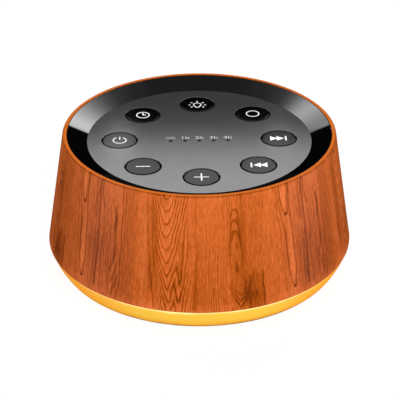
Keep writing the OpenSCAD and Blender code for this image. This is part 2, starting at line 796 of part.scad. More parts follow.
// A reversible socket: a drawn steel shell, a closed back and a tongue with its contacts
module power_inlet() {
    tongue = [6.7, 4.6, 0.7];
    back_l = 1.8;
    color("#c3c6c9") {
        translate([0, 0, inlet_z]) difference() {
            along_y(inlet_face_y - inlet_l, inlet_l) slot_outline(inlet_w, inlet_h);
            along_y(inlet_face_y - inlet_l + back_l, inlet_l)
                slot_outline(inlet_w - 2 * inlet_skin, inlet_h - 2 * inlet_skin);
        }
        translate([-tongue[0] / 2, inlet_face_y - inlet_l + back_l - 0.2, inlet_z - tongue[2] / 2])
            cube([tongue[0], tongue[1], tongue[2]]);
    }
}

// ---------------------------------------------------------------- leads

// A tube round a path. Each ring of its mesh stands square to the way there.
module lead(path, r, sides = 8) {
    last = len(path) - 1;
    function way(i) =
        let (d = path[min(i + 1, last)] - path[max(i - 1, 0)]) d / norm(d);
    function side(i) = let (s = cross(way(i), [1, 0, 0])) s / norm(s);
    points = [for (i = [0:last], k = [0:sides - 1])
        let (a = k * 360 / sides, s = side(i))
            path[i] + r * (cos(a) * s + sin(a) * cross(way(i), s))];
    walls = [for (i = [0:last - 1], k = [0:sides - 1])
        let (n = (k + 1) % sides)
            [i * sides + k, (i + 1) * sides + k, (i + 1) * sides + n, i * sides + n]];
    polyhedron(points, concat(
        walls,
        [[for (k = [0:sides - 1]) k]],
        [[for (k = [sides - 1:-1:0]) last * sides + k]]), convexity = 4);
}

module speaker_lead() { color("#2a2a2c") lead(speaker_lead_path, lead_r); }
module light_lead() { color("#d8d4c8") lead(light_lead_path, lead_r); }
module power_lead() { color("#a3262a") lead(power_lead_path, lead_r); }

sleeve();
deck_bezel();
top_deck();
control_panel();
light_ring();
base_cover();
speaker_grille();
foot_pads();
case_screws();
button_cap("power");  // cap_power
button_cap("timer");  // cap_timer
button_cap("light");  // cap_light
button_cap("circle");  // cap_circle
button_cap("next");  // cap_next
button_cap("previous");  // cap_previous
button_cap("volume_up");  // cap_volume_up
button_cap("volume_down");  // cap_volume_down
plunger("power");  // plunger_power
plunger("timer");  // plunger_timer
plunger("light");  // plunger_light
plunger("circle");  // plunger_circle
plunger("next");  // plunger_next
plunger("previous");  // plunger_previous
plunger("volume_up");  // plunger_volume_up
plunger("volume_down");  // plunger_volume_down
control_board();
board_screws();
tact_switches();
timer_leds();
led_shroud();
sound_chip();
small_chips();
capacitors();
board_sockets();
light_board();
ring_leds();
speaker_frame();
speaker_top_plate();
speaker_magnet();
speaker_yoke();
speaker_gasket();
speaker_terminals();
speaker_screws();
speaker_cone();
voice_coil();
dust_cap();
cone_surround();
cone_spider();
power_board();
power_inlet();
power_board_screws();
speaker_lead();
light_lead();
power_lead();
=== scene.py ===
"""A white noise sound machine: a wood-look shell round a sunken deck of push buttons, on a ring that glows.

Lengths are in millimetres until a mesh is placed. The camera's distance, the floor, the lamps
and the frame's own boxes are in metres.
"""
import json
import math

import bmesh
import bpy
from mathutils import Matrix, Vector
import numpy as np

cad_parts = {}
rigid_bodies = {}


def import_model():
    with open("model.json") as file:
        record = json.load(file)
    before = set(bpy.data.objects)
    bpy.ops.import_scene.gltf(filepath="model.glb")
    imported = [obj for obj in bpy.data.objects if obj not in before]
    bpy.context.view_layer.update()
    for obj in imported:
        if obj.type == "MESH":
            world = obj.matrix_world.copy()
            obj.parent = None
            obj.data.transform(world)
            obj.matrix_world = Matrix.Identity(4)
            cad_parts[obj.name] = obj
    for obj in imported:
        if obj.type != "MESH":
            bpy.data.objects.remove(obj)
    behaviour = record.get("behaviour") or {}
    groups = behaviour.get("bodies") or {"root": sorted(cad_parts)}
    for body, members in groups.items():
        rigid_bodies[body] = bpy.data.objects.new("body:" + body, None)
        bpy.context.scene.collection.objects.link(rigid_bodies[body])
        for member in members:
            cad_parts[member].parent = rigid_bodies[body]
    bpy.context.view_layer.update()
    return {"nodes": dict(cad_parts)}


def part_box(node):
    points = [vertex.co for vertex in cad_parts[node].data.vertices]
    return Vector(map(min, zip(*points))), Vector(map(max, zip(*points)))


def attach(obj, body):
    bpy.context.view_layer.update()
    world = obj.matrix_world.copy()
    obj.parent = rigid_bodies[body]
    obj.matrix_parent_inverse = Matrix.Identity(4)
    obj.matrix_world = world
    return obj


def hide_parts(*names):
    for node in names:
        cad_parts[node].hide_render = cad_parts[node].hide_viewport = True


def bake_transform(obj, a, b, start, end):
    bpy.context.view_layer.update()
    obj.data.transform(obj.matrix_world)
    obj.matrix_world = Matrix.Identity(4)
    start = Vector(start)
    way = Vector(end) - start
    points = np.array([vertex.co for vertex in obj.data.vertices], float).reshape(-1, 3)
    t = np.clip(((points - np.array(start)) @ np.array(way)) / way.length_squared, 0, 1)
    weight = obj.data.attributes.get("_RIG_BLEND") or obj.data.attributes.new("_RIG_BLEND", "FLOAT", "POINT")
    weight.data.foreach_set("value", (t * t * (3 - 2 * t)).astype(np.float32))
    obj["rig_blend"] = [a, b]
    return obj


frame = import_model()
nodes = frame["nodes"]
scene = bpy.context.scene
MM = 0.001

# ---------------------------------------------------------------- camera
# A long lens, a little clockwise of the front and looking down at the deck, so that the far
# side of the rim looks nearly as wide as the near side.
LENS = 168.1
CAMERA_ELEVATION = math.radians(28.97)
CAMERA_TURN = math.radians(1.56)
CAMERA_DISTANCE = 0.6795
AIM = Vector((0.25, 0, 22.8)) * MM

camera = bpy.data.objects.new("camera", bpy.data.cameras.new("camera"))
scene.collection.objects.link(camera)
camera.data.lens = LENS
camera.data.sensor_width = 36
camera.data.clip_start = 0.01
camera.data.clip_end = 20
away = Vector((-math.sin(CAMERA_TURN) * math.cos(CAMERA_ELEVATION),
               -math.cos(CAMERA_TURN) * math.cos(CAMERA_ELEVATION),
               math.sin(CAMERA_ELEVATION)))
camera.location = AIM + away * CAMERA_DISTANCE
camera.rotation_euler = (-away).to_track_quat("-Z", "Y").to_euler()
scene.camera = camera
scene.view_settings.view_transform = "Standard"


# ---------------------------------------------------------------- studio
# A pale floor, a white room and three soft lamps. Behind the machine stand a reflector card and
# a dark screen with two soft boxes. They show only in what is glossy: the card in the panel and
# the two middle buttons, the screen and its boxes in the bezel.
class Value:
    """A socket of a node tree. Arithmetic on values adds the Math nodes."""

    def __init__(self, graph, socket):
        self.graph = graph
        self.socket = socket

    def math(self, operation, *others, clamp=False):
        settings = {"operation": operation, "use_clamp": clamp}
        return self.graph.node("ShaderNodeMath", settings, [self, *others])

    def __add__(self, other):
        return self.math("ADD", other)

    def __sub__(self, other):
        return self.math("SUBTRACT", other)

    def __rsub__(self, other):
        return self.graph.node("ShaderNodeMath", {"operation": "SUBTRACT"}, [other, self])

    def __mul__(self, other):
        return self.math("MULTIPLY", other)

    def __truediv__(self, other):
        return self.math("DIVIDE", other)

    def __pow__(self, other):
        return self.math("POWER", other)

    def __neg__(self):
        return self.math("MULTIPLY", -1)

    def clip(self):
        return self.math("ADD", 0, clamp=True)

    __radd__ = __add__


class Graph:
    """A node tree, with the one method that adds a node to it."""

    def __init__(self, tree):
        self.tree = tree

    def node(self, kind, settings=(), inputs=(), out=0):
        made = self.tree.nodes.new(kind)
        for name, setting in dict(settings).items():
            if name == "stops":
                for i, (at, colour) in enumerate(setting):
                    ramp = made.color_ramp.elements
                    stop = ramp[i] if i < 2 else ramp.new(at)
                    stop.position = at
                    stop.color = colour
            elif name == "curve":
                line = made.mapping.curves[0].points
                for i, point in enumerate(setting):
                    knot = line[i] if i < 2 else line.new(*point)
                    knot.location = point
                made.mapping.update()
            else:
                setattr(made, name, setting)
        places = inputs.items() if isinstance(inputs, dict) else enumerate(inputs)
        for place, value in places:
            self.feed(made.inputs[place], value)
        return Value(self, made.outputs[out])

    def feed(self, socket, value):
        if isinstance(value, Value):
            self.tree.links.new(value.socket, socket)
        else:
            socket.default_value = value

    def mix(self, factor, first, second, mode="MIX"):
        settings = {"data_type": "RGBA", "blend_type": mode}
        return self.node("ShaderNodeMix", settings, {0: factor, 6: first, 7: second}, out=2)

    def stretch(self, place, x, y, z):
        return self.node("ShaderNodeVectorMath", {"operation": "MULTIPLY"}, [place, (x, y, z)])

    def noise(self, place, scale, detail=2, roughness=0.5):
        inputs = {"Vector": place, "Scale": scale, "Detail": detail, "Roughness": roughness}
        return self.node("ShaderNodeTexNoise", {}, inputs)

    def split(self, place):
        parts = self.node("ShaderNodeSeparateXYZ", {}, [place])
        return [Value(self, socket) for socket in parts.socket.node.outputs]


def srgb(red, green, blue):
    """A colour as it is seen on a screen, from 0 to 255, as the shader's own numbers."""
    def linear(c):
        return c / 12.92 if c <= 0.04045 else ((c + 0.055) / 1.055) ** 2.4
    return (*(linear(c / 255) for c in (red, green, blue)), 1)


ROOM_LIGHT = 0.4
FLOOR_SIZE = 6.0
FLOOR_COLOUR = (0.8, 0.8, 0.8, 1)
SHADOW_SHARE = 0.14
FLOOR_WHITE = 1.07
WHITE = (1, 1, 1, 1)


def shown(graph):
    """1 for the rays that show the background, straight or in metal and glass; otherwise 0."""
    rays = [graph.node("ShaderNodeLightPath", out="Is %s Ray" % kind)
            for kind in ("Camera", "Glossy", "Transmission")]
    return (rays[0] + rays[1] + rays[2]).clip()


world = bpy.data.worlds.new("room")
world.use_nodes = True
scene.world = world
room = Graph(world.node_tree)
room.tree.nodes.clear()
lit = room.node("ShaderNodeBackground", {}, [WHITE, ROOM_LIGHT])
white = room.node("ShaderNodeBackground", {}, [WHITE, 1.0])
backdrop = room.node("ShaderNodeMixShader", {}, [shown(room), lit, white])
room.feed(room.tree.nodes.new("ShaderNodeOutputWorld").inputs["Surface"], backdrop)


def add_piece(name, shape, material):
    """Makes an object of a bmesh, whose vertices are in millimetres."""
    bmesh.ops.scale(shape, vec=(MM, MM, MM), verts=shape.verts)
    mesh = bpy.data.meshes.new(name)
    shape.to_mesh(mesh)
    shape.free()
    mesh.materials.append(material)
    piece = bpy.data.objects.new(name, mesh)
    scene.collection.objects.link(piece)
    return piece


floor_finish = bpy.data.materials.new("floor")
floor_finish.use_nodes = True
ground = Graph(floor_finish.node_tree)
ground.tree.nodes.clear()
matt = ground.node("ShaderNodeBsdfDiffuse", {}, {"Color": FLOOR_COLOUR})
bright = ground.node("ShaderNodeEmission", {}, {"Color": WHITE, "Strength": FLOOR_WHITE})
whitened = ground.node("ShaderNodeMixShader", {}, [shown(ground) * (1 - SHADOW_SHARE), matt, bright])
below = ground.node("ShaderNodeNewGeometry", out="Backfacing")
clear = ground.node("ShaderNodeBsdfTransparent")
ground.feed(ground.tree.nodes.new("ShaderNodeOutputMaterial").inputs["Surface"],
            ground.node("ShaderNodeMixShader", {}, [below, whitened, clear]))

shape = bmesh.new()
bmesh.ops.create_grid(shape, x_segments=1, y_segments=1, size=FLOOR_SIZE / 2 / MM)
floor = add_piece("floor", shape, floor_finish)
floor.visible_shadow = False

LAMPS = [
    # name, place and size in metres, watts
    ("lamp_front", (0.35, -1.35, 0.9), 0.9, 17.3),
    ("lamp_back", (0.2, 1.4, 1.1), 0.9, 12.0),
    ("lamp_left", (-1.1, 1.0, 0.4), 0.6, 4.0),
]
for name, place, size, watts in LAMPS:
    lamp = bpy.data.objects.new(name, bpy.data.lights.new(name, "AREA"))
    lamp.data.shape = "SQUARE"
    lamp.data.size = size
    lamp.data.energy = watts
    lamp.location = place
    lamp.rotation_euler = (-Vector(place)).to_track_quat("-Z", "Y").to_euler()
    lamp.visible_glossy = False
    scene.collection.objects.link(lamp)

# The card's glow is a list of heights and strengths, and its spots are ovals. The screen is dim
# from a height upwards, with a paler band. Both soft boxes are masked below the same height, with
# a narrow blurred edge. All bands of light are given by height, strength and fade.
CARD_Y = 130
CARD_SIZE = (420, 260)
CARD_GLOW = [(111.7, 0.0), (111.8, 0.1), (118, 1.45), (125, 2.12), (135, 2.35), (150, 2.58),
             (165, 1.95), (205, 0.4), (259, 0.0)]
CARD_SPOTS = [(-31.2, 3.3), (38.0, 1.9)]
SPOT_HEIGHT = 114.6
SPOT_SIZE = (6.6, 2.9)
SCREEN_Y = 400
SCREEN_SIZE = (3000, 2200)
SCREEN_FROM = 560
SCREEN_RISE = 60
SCREEN_GLOW = 0.22
SCREEN_BAND = (900, 0.12, 90)
BOX_FROM = 240.6
BOX_EDGE = 8.6
SOFT_BOXES = [
    # left, right, bands
    (116, 300, [(250, 4.9, 140)]),
    (-300, -92, [(240, 1.5, 32), (420, 2.9, 95)]),
]
CLOTH_R = 420
CLOTH_Z = 0.02
BLACK_PAPER = (0.01, 0.01, 0.01, 1)


def sheet_finish(name):
    """An empty material for a card, with its graph and its place in millimetres."""
    finish = bpy.data.materials.new(name)
    finish.use_nodes = True
    graph = Graph(finish.node_tree)
    graph.tree.nodes.clear()
    place = graph.stretch(graph.node("ShaderNodeTexCoord", out="Object"), 1 / MM, 1 / MM, 1 / MM)
    return finish, graph, graph.split(place)


def profile(graph, height, tall, steps):
    """The glow at a height, from a list of heights and glows, which may be above 1."""
    stops = [(at / tall, (glow, glow, glow, 1)) for at, glow in steps]
    return graph.node("ShaderNodeValToRGB", {"stops": [stops[0], stops[-1], *stops[1:-1]]}, [height / tall])


def band(height, middle, glow, fade):
    """A soft band of light, which fades above and below its middle."""
    return (((height - middle) / fade) ** 2 * -1).math("EXPONENT") * glow


def stand_sheet(name, size, y_place, finish):
    """An upright sheet that stands on the floor behind the machine and faces it."""
    shape = bmesh.new()
    bmesh.ops.create_grid(shape, x_segments=1, y_segments=1, size=0.5)
    bmesh.ops.scale(shape, vec=(*size, 1), verts=shape.verts)
    bmesh.ops.rotate(shape, cent=(0, 0, 0), matrix=Matrix.Rotation(math.pi / 2, 3, "X"), verts=shape.verts)
    bmesh.ops.translate(shape, vec=(0, y_place, size[1] / 2), verts=shape.verts)
    return add_piece(name, shape, finish)


card_finish, graph, (x, _, z) = sheet_finish("reflector_card")
front = 1 - graph.node("ShaderNodeNewGeometry", out="Backfacing")
spots = 0
for x_spot, glow in CARD_SPOTS:
    off = ((x - x_spot) / SPOT_SIZE[0]) ** 2 + ((z - SPOT_HEIGHT) / SPOT_SIZE[1]) ** 2
    spots = off.math("LESS_THAN", 1) * glow + spots
glow = graph.node("ShaderNodeEmission", {}, {
    "Color": profile(graph, z, CARD_SIZE[1], CARD_GLOW) + spots, "Strength": front})
clear = graph.node("ShaderNodeBsdfTransparent")
graph.feed(graph.tree.nodes.new("ShaderNodeOutputMaterial").inputs["Surface"],
           graph.node("ShaderNodeAddShader", {}, [glow, clear]))

screen_finish, graph, (x, _, z) = sheet_finish("black_screen")
glow = ((z - SCREEN_FROM) / SCREEN_RISE).clip() * SCREEN_GLOW + band(z, *SCREEN_BAND)
lit = ((z - BOX_FROM) / BOX_EDGE).clip()
for left, right, bands in SOFT_BOXES:
    inside = x.math("GREATER_THAN", left) * x.math("LESS_THAN", right) * lit
    glow = sum(band(z, *one) for one in bands) * inside + glow
front = 1 - graph.node("ShaderNodeNewGeometry", out="Backfacing")
graph.feed(graph.tree.nodes.new("ShaderNodeOutputMaterial").inputs["Surface"],
           graph.node("ShaderNodeEmission", {}, {"Color": glow, "Strength": front}))

cloth_finish, graph, _ = sheet_finish("black_cloth")
below = graph.node("ShaderNodeNewGeometry", out="Backfacing")
dark = graph.node("ShaderNodeBsdfDiffuse", {}, {"Color": BLACK_PAPER})
clear = graph.node("ShaderNodeBsdfTransparent")
graph.feed(graph.tree.nodes.new("ShaderNodeOutputMaterial").inputs["Surface"],
           graph.node("ShaderNodeMixShader", {}, [below, dark, clear]))

card = stand_sheet("reflector_card", CARD_SIZE, CARD_Y, card_finish)
screen = stand_sheet("black_screen", SCREEN_SIZE, SCREEN_Y, screen_finish)
shape = bmesh.new()
bmesh.ops.create_circle(shape, cap_ends=True, radius=CLOTH_R, segments=64)
bmesh.ops.translate(shape, vec=(0, 0, CLOTH_Z), verts=shape.verts)
cloth = add_piece("black_cloth", shape, cloth_finish)
for sheet in (card, screen, cloth):
    sheet.visible_camera = False
    sheet.visible_diffuse = False
    sheet.visible_shadow = False
    sheet.visible_transmission = False


# ---------------------------------------------------------------- shell
# The tapered shell is moulded and wrapped in a wood-print film with a satin coat. The film
# repeats four times round the shell: each repeat is a flat-sawn board with arches and an eye.
class Finish(Graph):
    """A material with one Principled shader."""

    def __init__(self, name, sockets=()):
        self.material = bpy.data.materials.new(name)
        self.material.use_nodes = True
        super().__init__(self.material.node_tree)
        self.shader = self.tree.nodes["Principled BSDF"]
        self.place = self.stretch(self.node("ShaderNodeTexCoord", out="Object"), 1 / MM, 1 / MM, 1 / MM)
        self.put(sockets)

    def put(self, sockets):
        for name, value in dict(sockets).items():
            self.feed(self.shader.inputs[name], value)

    def bump(self, height, depth, strength=1.0):
        inputs = {"Strength": strength, "Distance": depth * MM, "Height": height}
        self.put({"Normal": self.node("ShaderNodeBump", {}, inputs)})

    def cover(self, *names):
        for name in names:
            for slot in nodes[name].material_slots:
                slot.material = self.material
        return self


SHELL_R = 51.0
REPEATS = 4
REPEAT = math.tau * SHELL_R / REPEATS
REPEAT_START = -24.0
FILM_PULL = 0.037
PRINT_TOP = 52.0

# Grain lines of one repeat: width and darkness, then pairs of height and place round the shell.
GRAIN_LINES = [
    (0.4, 0.8, [(10, -17.0), (14, -17.4), (22, -18.3), (28, -18.9), (38, -20.0), (51, -20.4)]),
    (0.3, 0.4, [(10, -15.4), (18, -16.2), (26, -17.0), (36, -18.0), (51, -18.6)]),
    (0.9, 0.5, [(22, -7.9), (28, -8.1), (34, -8.3), (40, -8.5)]),
    (0.7, 0.4, [(10, -3.3), (20, -2.6), (32, -2.6), (51, -2.9)]),
    (0.35, 0.5, [(24, 9.3), (30, 9.3), (38, 9.4), (44, 9.5), (51, 9.0)]),
    (0.3, 0.45, [(26, 8.1), (34, 8.3), (42, 8.6), (51, 8.2)]),
    (0.4, 0.8, [(12, 14.6), (16, 14.5), (20, 14.1)]),
    (0.3, 0.35, [(36, 13.4), (42, 13.2), (51, 13.6)]),
    (0.5, 0.9, [(39.9, 31.3), (40.8, 30.7), (42, 30.2), (46, 29.3), (51, 28.7)]),
    (0.5, 0.9, [(39.9, 31.5), (40.5, 32.1), (42, 32.4), (46, 32.5), (51, 32.4)]),
    (0.45, 0.8, [(12.7, 33.3), (14, 32.6), (20, 31.4), (28, 31.0), (34, 30.6), (38, 29.7), (44, 28.5),
                 (51, 27.6)]),
    (0.55, 0.95, [(12.7, 33.5), (14, 33.8), (16, 34.0), (22, 34.4), (28, 34.1), (34, 33.7), (40, 33.3),
                  (51, 32.9)]),
    (0.4, 0.5, [(12, 29.9), (18, 29.2), (26, 28.9), (34, 28.6), (42, 27.8), (51, 26.8)]),
    (0.7, 0.9, [(12, 39.6), (20, 39.8), (28, 40.1), (36, 39.8), (44, 39.6), (51, 39.7)]),
    (0.5, 0.85, [(41.5, 41.8), (44, 41.2), (47, 40.8), (51, 40.6)]),
    (0.4, 0.6, [(12, 42.0), (18, 41.7), (24, 41.7), (31, 42.1), (38, 42.0)]),
    (0.35, 0.55, [(14, 35.3), (22, 35.4), (30, 35.2), (44, 34.9)]),
    (0.3, 0.45, [(20, 36.0), (32, 36.1), (46, 35.8)]),
    (0.35, 0.65, [(11, 36.8), (20, 36.6), (27, 36.9), (31, 37.0)]),
    (0.35, 0.55, [(11, 38.1), (24, 38.3), (37, 38.4), (51, 38.2)]),
    (0.35, 0.55, [(24, 43.1), (34, 42.9), (43, 42.6)]),
    (0.35, 0.45, [(20, 44.2), (32, 43.9), (42, 44.0)]),
    (0.35, 0.45, [(14, 45.4), (26, 45.2), (36, 45.4)]),
    (0.8, 0.8, [(24, 47.5), (28, 47.8), (36, 47.6), (43, 47.2)]),
    (0.45, 0.65, [(10, 49.2), (15, 50.0), (30, 50.1), (51, 50.0)]),
    (0.45, 0.8, [(19, 46.1), (21, 46.5), (24, 47.8), (27, 48.2)]),
    (0.45, 0.8, [(14, 46.2), (16, 46.8), (19, 48.2), (22, 48.7)]),
    (0.45, 0.7, [(10, 47.0), (12, 47.4), (15, 48.4), (18, 49.2)]),
    (0.35, 0.35, [(14, 51.4), (30, 51.2), (48, 51.4)]),
    (0.4, 0.8, [(9, 21.2), (16, 21.1), (22, 20.9)]),
    (0.5, 0.5, [(9, 15.6), (14, 15.5), (19, 15.2)]),
]
# Darker and paler patches: place, height, half width, half height, how dark, how purple.
PATCHES = [
    (-18.2, 42, 1.1, 5, 0.3, 0.2),
    (-16.4, 34, 1.2, 14, 0.24, 0.0),
    (-18.4, 22, 1.3, 8, 0.3, 0.0),
    (-16.5, 11, 2.4, 7, -0.18, 0.0),
    (-14.2, 50, 1.8, 3.5, 0.3, 0.1),
    (-10.5, 14, 5.5, 9, 0.08, 0.0),
    (-2.4, 18, 1.3, 11, 0.22, 0.0),
    (4.5, 22, 4.5, 12, 0.06, 0.0),
    (11.6, 32.5, 0.5, 1.2, 0.45, 0.0),
    (11.7, 24.5, 0.7, 2.4, 0.55, 0.0),
    (12.0, 28, 1.9, 18, 0.12, 0.0),
    (14.0, 30, 1.1, 32, 0.26, 0.0),
    (17.3, 34, 3.8, 26, 0.16, 0.0),
    (16.2, 14, 1.8, 6, 0.25, 0.0),
    (23.2, 30, 2.2, 34, 0.05, 0.0),
    (31.4, 40.1, 0.8, 0.5, 0.8, 0.2),
    (33.4, 12.9, 0.55, 0.5, 0.8, 0.2),
    (31.0, 28, 0.9, 7, 0.25, 0.0),
    (32.6, 24, 1.0, 12, -0.3, 0.0),
    (30.9, 46, 0.9, 5, -0.32, 0.0),
    (40.0, 18, 3.6, 13, 0.2, 0.0),
    (41.0, 32, 10.5, 80, -0.03, 0.85),
    (45.0, 22, 4.5, 16, 0.16, 0.0),
    (45.0, 48, 1.6, 6, -0.08, 0.0),
    (38.0, 26, 1.3, 30, 0.14, 0.0),
    (47.5, 38, 0.5, 3, 0.5, 0.1),
    (48.0, 18, 2.2, 9, 0.2, 0.0),
    (47.4, 19.8, 0.4, 2.0, -0.4, 0.0),
    (46.7, 14.5, 0.4, 2.5, -0.4, 0.0),
    (-21.0, 34, 1.6, 30, -0.1, 0.2),
    (53.0, 30, 3.2, 30, 0.22, 0.2),
]
BLOCK = (13.9, 21.3, 24.0)
WOOD_RAMP = [(0.0, srgb(96, 38, 4)), (1.0, srgb(250, 136, 74)), (0.25, srgb(142, 62, 8)),
             (0.5, srgb(182, 85, 25)), (0.75, srgb(218, 109, 51))]
WOOD_BLOOM = (0, 0.011, 0.02, 1)
# The film ends at a fine dark line, and the lip above it is plain orange.
RIM_ORANGE = srgb(214, 110, 26)
RIM_SHARE = 0.8
RIM_FROM = 50.8
RIM_SOFT = 0.2
RIM_LINE = 50.65
RIM_LINE_W = 0.3
RIM_LINE_DARK = 0.22
# Painted shade darkens the film at both flanks, where less lamp light falls. Painted light makes it
# paler along its foot and at one spot low on the left, as the glowing ring lights them.
FLANK_X, FLANK_W, FLANK_PAINTED_SHADE = 45, 4, 0.06
FOOT_TOP, FOOT_W, FOOT_PAINTED_LIGHT = 13, 4, 0.13
LIGHT_SPOT_AT, LIGHT_SPOT_HALF, LIGHT_SPOT_PAINTED = (-38, 15), (6, 7), 0.13

wood = Finish("wood_grain", {"Specular IOR Level": 0.02})
x, y, z = wood.split(wood.place)
turn = x.math("ARCTAN2", -y)
drawn = turn + turn.math("SINE") * FILM_PULL
round_r = SHELL_R / REPEATS
roll = wood.node("ShaderNodeCombineXYZ", {}, [
    (drawn * REPEATS).math("SINE") * round_r, (drawn * REPEATS).math("COSINE") * round_r, z])
sway = (wood.noise(wood.stretch(roll, 1, 1, 0.7), 0.22, 2) - 0.5) * 1.3
along = (drawn * SHELL_R).math("WRAP", REPEAT_START + REPEAT, REPEAT_START) + sway
fibre = wood.noise(wood.stretch(roll, 1, 1, 0.16), 2.9, 2)
strand = wood.noise(wood.stretch(roll, 1, 1, 0.11), 1.25, 2)
streak = wood.noise(wood.stretch(roll, 1, 1, 0.05), 0.55, 2)
field = wood.noise(wood.stretch(roll, 1, 1, 0.15), 0.16, 2)
pore = wood.noise(wood.stretch(roll, 1, 1, 0.13), 2.0, 1)


def thin_lines(scale, width):
    """Fine dark lines along the grain, where a stretched noise passes its middle."""
    line = wood.noise(wood.stretch(roll, 1, 1, 0.035), scale, 1) - 0.5
    return (1 - line.math("ABSOLUTE") / width).clip()


def growth(phase, slope, rate, width):
    """Growth lines of one width where a phase, with this slope across and rate up, is a whole number."""
    off = ((phase + 0.5).math("FRACT") - 0.5).math("ABSOLUTE")
    return (1 - off / ((slope * slope + rate * rate) ** 0.5 * width)).clip()


def nest(u, core, steep=1.16):
    """How far a nested arch has climbed at a distance u from its middle, and how steep it is there."""
    root = (u * u + core * core) ** 0.5
    return (root - core) * steep, u.math("ABSOLUTE") / root * steep


# The large arches, whose lowest tips are in two columns.
ARCH_STEP = 4.64
low = ((30 - z) / 9).clip()
core = 2.5 - low * 1.6
climb, slope = nest(along + 11.8 + ((z - 12) / 24).clip() * 1.4, core)
climb_2, slope_2 = nest(along + 8.3, core)
apart = (z - 12) * 0.07 + (z - 20).math("MAXIMUM", 0) * 0.12
climb = climb.math("SMOOTH_MIN", climb_2 + apart, 1.8)
phase = (z - 12.8) / ARCH_STEP - climb + (field - 0.5) * 0.5 + (fibre - 0.5) * 0.3
left_side = ((z - 20) / 30).clip() * -3.4 - 15.2
beside = ((along - left_side) / 1.5 + 0.5).clip() * (-5.0 - along).clip()
slope = slope.math("MINIMUM", slope_2 + apart)
arches = growth(phase, slope, 1 / ARCH_STEP, 0.4 + low * (1 - slope).clip() * 0.3)
lines = arches * beside * (0.7 + strand * 0.5 + low * 0.2)
glow = beside * (1 - phase.math("FRACT")) * 0.22

# The closed eye: three caps above, three cups below.
CAP_STEP, CUP_STEP = 3.9, 2.2
u = (along - 11.2).math("ABSOLUTE")
phase = (z - 38) / CAP_STEP + u ** 3 * 0.3
caps = growth(phase, u * u * 0.9, 1 / CAP_STEP, 0.6) * ((phase + 0.5) * 4).clip() * ((2.5 - phase) * 4).clip()
climb, slope = nest(along - 12.5, 0.8, 1.2)
phase = (z - 10.4) / CUP_STEP - climb + (fibre - 0.5) * 0.4
cups = growth(phase, slope, 1 / CUP_STEP, 0.45) * ((phase + 0.5) * 4).clip() * ((2.5 - phase) * 4).clip()
lines = lines + caps * ((z - 24) / 12).clip() * 0.9 + cups * ((21 - z) / 8).clip() * 1.1

for width, dark, path in GRAIN_LINES:
    knots = [(height / PRINT_TOP, (place - REPEAT_START) / REPEAT) for height, place in path]
    knots = [knots[0], knots[-1], *knots[1:-1]]
    curve = wood.node("ShaderNodeFloatCurve", {"curve": knots}, {1: z / PRINT_TOP})
    near = 1 - (along - REPEAT_START - curve * REPEAT).math("ABSOLUTE") / width
    ends = (z - path[0][0] + 0.7).clip() * (path[-1][0] + 0.7 - z).clip()
    lines = lines.math("MAXIMUM", near.clip() * ends * dark)

shade = 0
purple = 0
for place, height, half, tall, dark, tint in PATCHES:
    u = (along - place) / half
    v = (z - height) / tall
    patch = (-(u * u + v * v)).math("EXPONENT")
    shade = patch * dark + shade
    purple = patch * tint + purple

# A block of close brown pores with a straight right edge, as where one board ends.
left, right, top = BLOCK
ragged = (strand - 0.5) * 14
block = ((along - left) / 3).clip() * ((right - along) * 4).clip() * ((top - z + ragged) / 5).clip()
dots = ((pore - 0.5) * 6).clip()
shade = shade + block * (0.22 + dots * 0.25)

# Fine parallel lines, clearest beside the arches' foot and in the dark stripes.
LINE_PITCH = 0.85
drift = along + (streak - 0.5) * 2.4
fine = growth(drift / LINE_PITCH, 1 / LINE_PITCH, 0, 0.3) * (strand * 3 - 1.1).clip()
striped = (((along - 4.5) / 4.5) ** 4 * -1).math("EXPONENT") * ((36 - z) / 12).clip()
striped = (striped + (((along - 41) / 7) ** 4 * -1).math("EXPONENT") + block * 0.6).clip()
vein = thin_lines(0.55, 0.018) * (streak * 1.6 - 0.4).clip()
tone = ((fibre - 0.5) * 0.55 + (strand - 0.5) * 0.3 + (streak - 0.5) * 0.2 + (field - 0.5) * 0.12
        + (z - 30) * 0.0028 + 0.66)
tone = tone + glow - shade * (0.7 + streak * 0.6) * 0.6 - lines * 0.38 - vein * 0.14
tone = tone - dots * 0.06 - fine * (0.1 + striped * 0.4) + striped * 0.03
# Painted shade: the film is darkened at both flanks, where less lamp light falls.
flank_painted_shade = (((x.math("ABSOLUTE") - FLANK_X) / FLANK_W) ** 2 * -1).math("EXPONENT")
# Painted light: paler at one spot low on the left and along the foot, as the glowing ring lights them.
across, up = ((part - at) / half for part, at, half in zip((x, z), LIGHT_SPOT_AT, LIGHT_SPOT_HALF))
spot = ((across ** 2 + up ** 2) * -1).math("EXPONENT")
foot = ((FOOT_TOP - z) / FOOT_W).clip()
rim_line = (1 - (z - RIM_LINE).math("ABSOLUTE") / RIM_LINE_W).clip()
tone = tone - flank_painted_shade * FLANK_PAINTED_SHADE + spot * LIGHT_SPOT_PAINTED + foot * FOOT_PAINTED_LIGHT - rim_line * RIM_LINE_DARK
colour = wood.node("ShaderNodeValToRGB", {"stops": WOOD_RAMP}, [tone])
colour = wood.mix(purple.clip(), colour, WOOD_BLOOM, "ADD")
colour = wood.mix(((z - RIM_FROM) / RIM_SOFT).clip() * RIM_SHARE, colour, RIM_ORANGE)
wood.put({"Base Color": colour, "Roughness": 0.5 + lines * 0.15})
wood.bump(fibre * 0.5 + strand * 0.5 - lines, 0.02, 0.4)
wood.cover("sleeve")


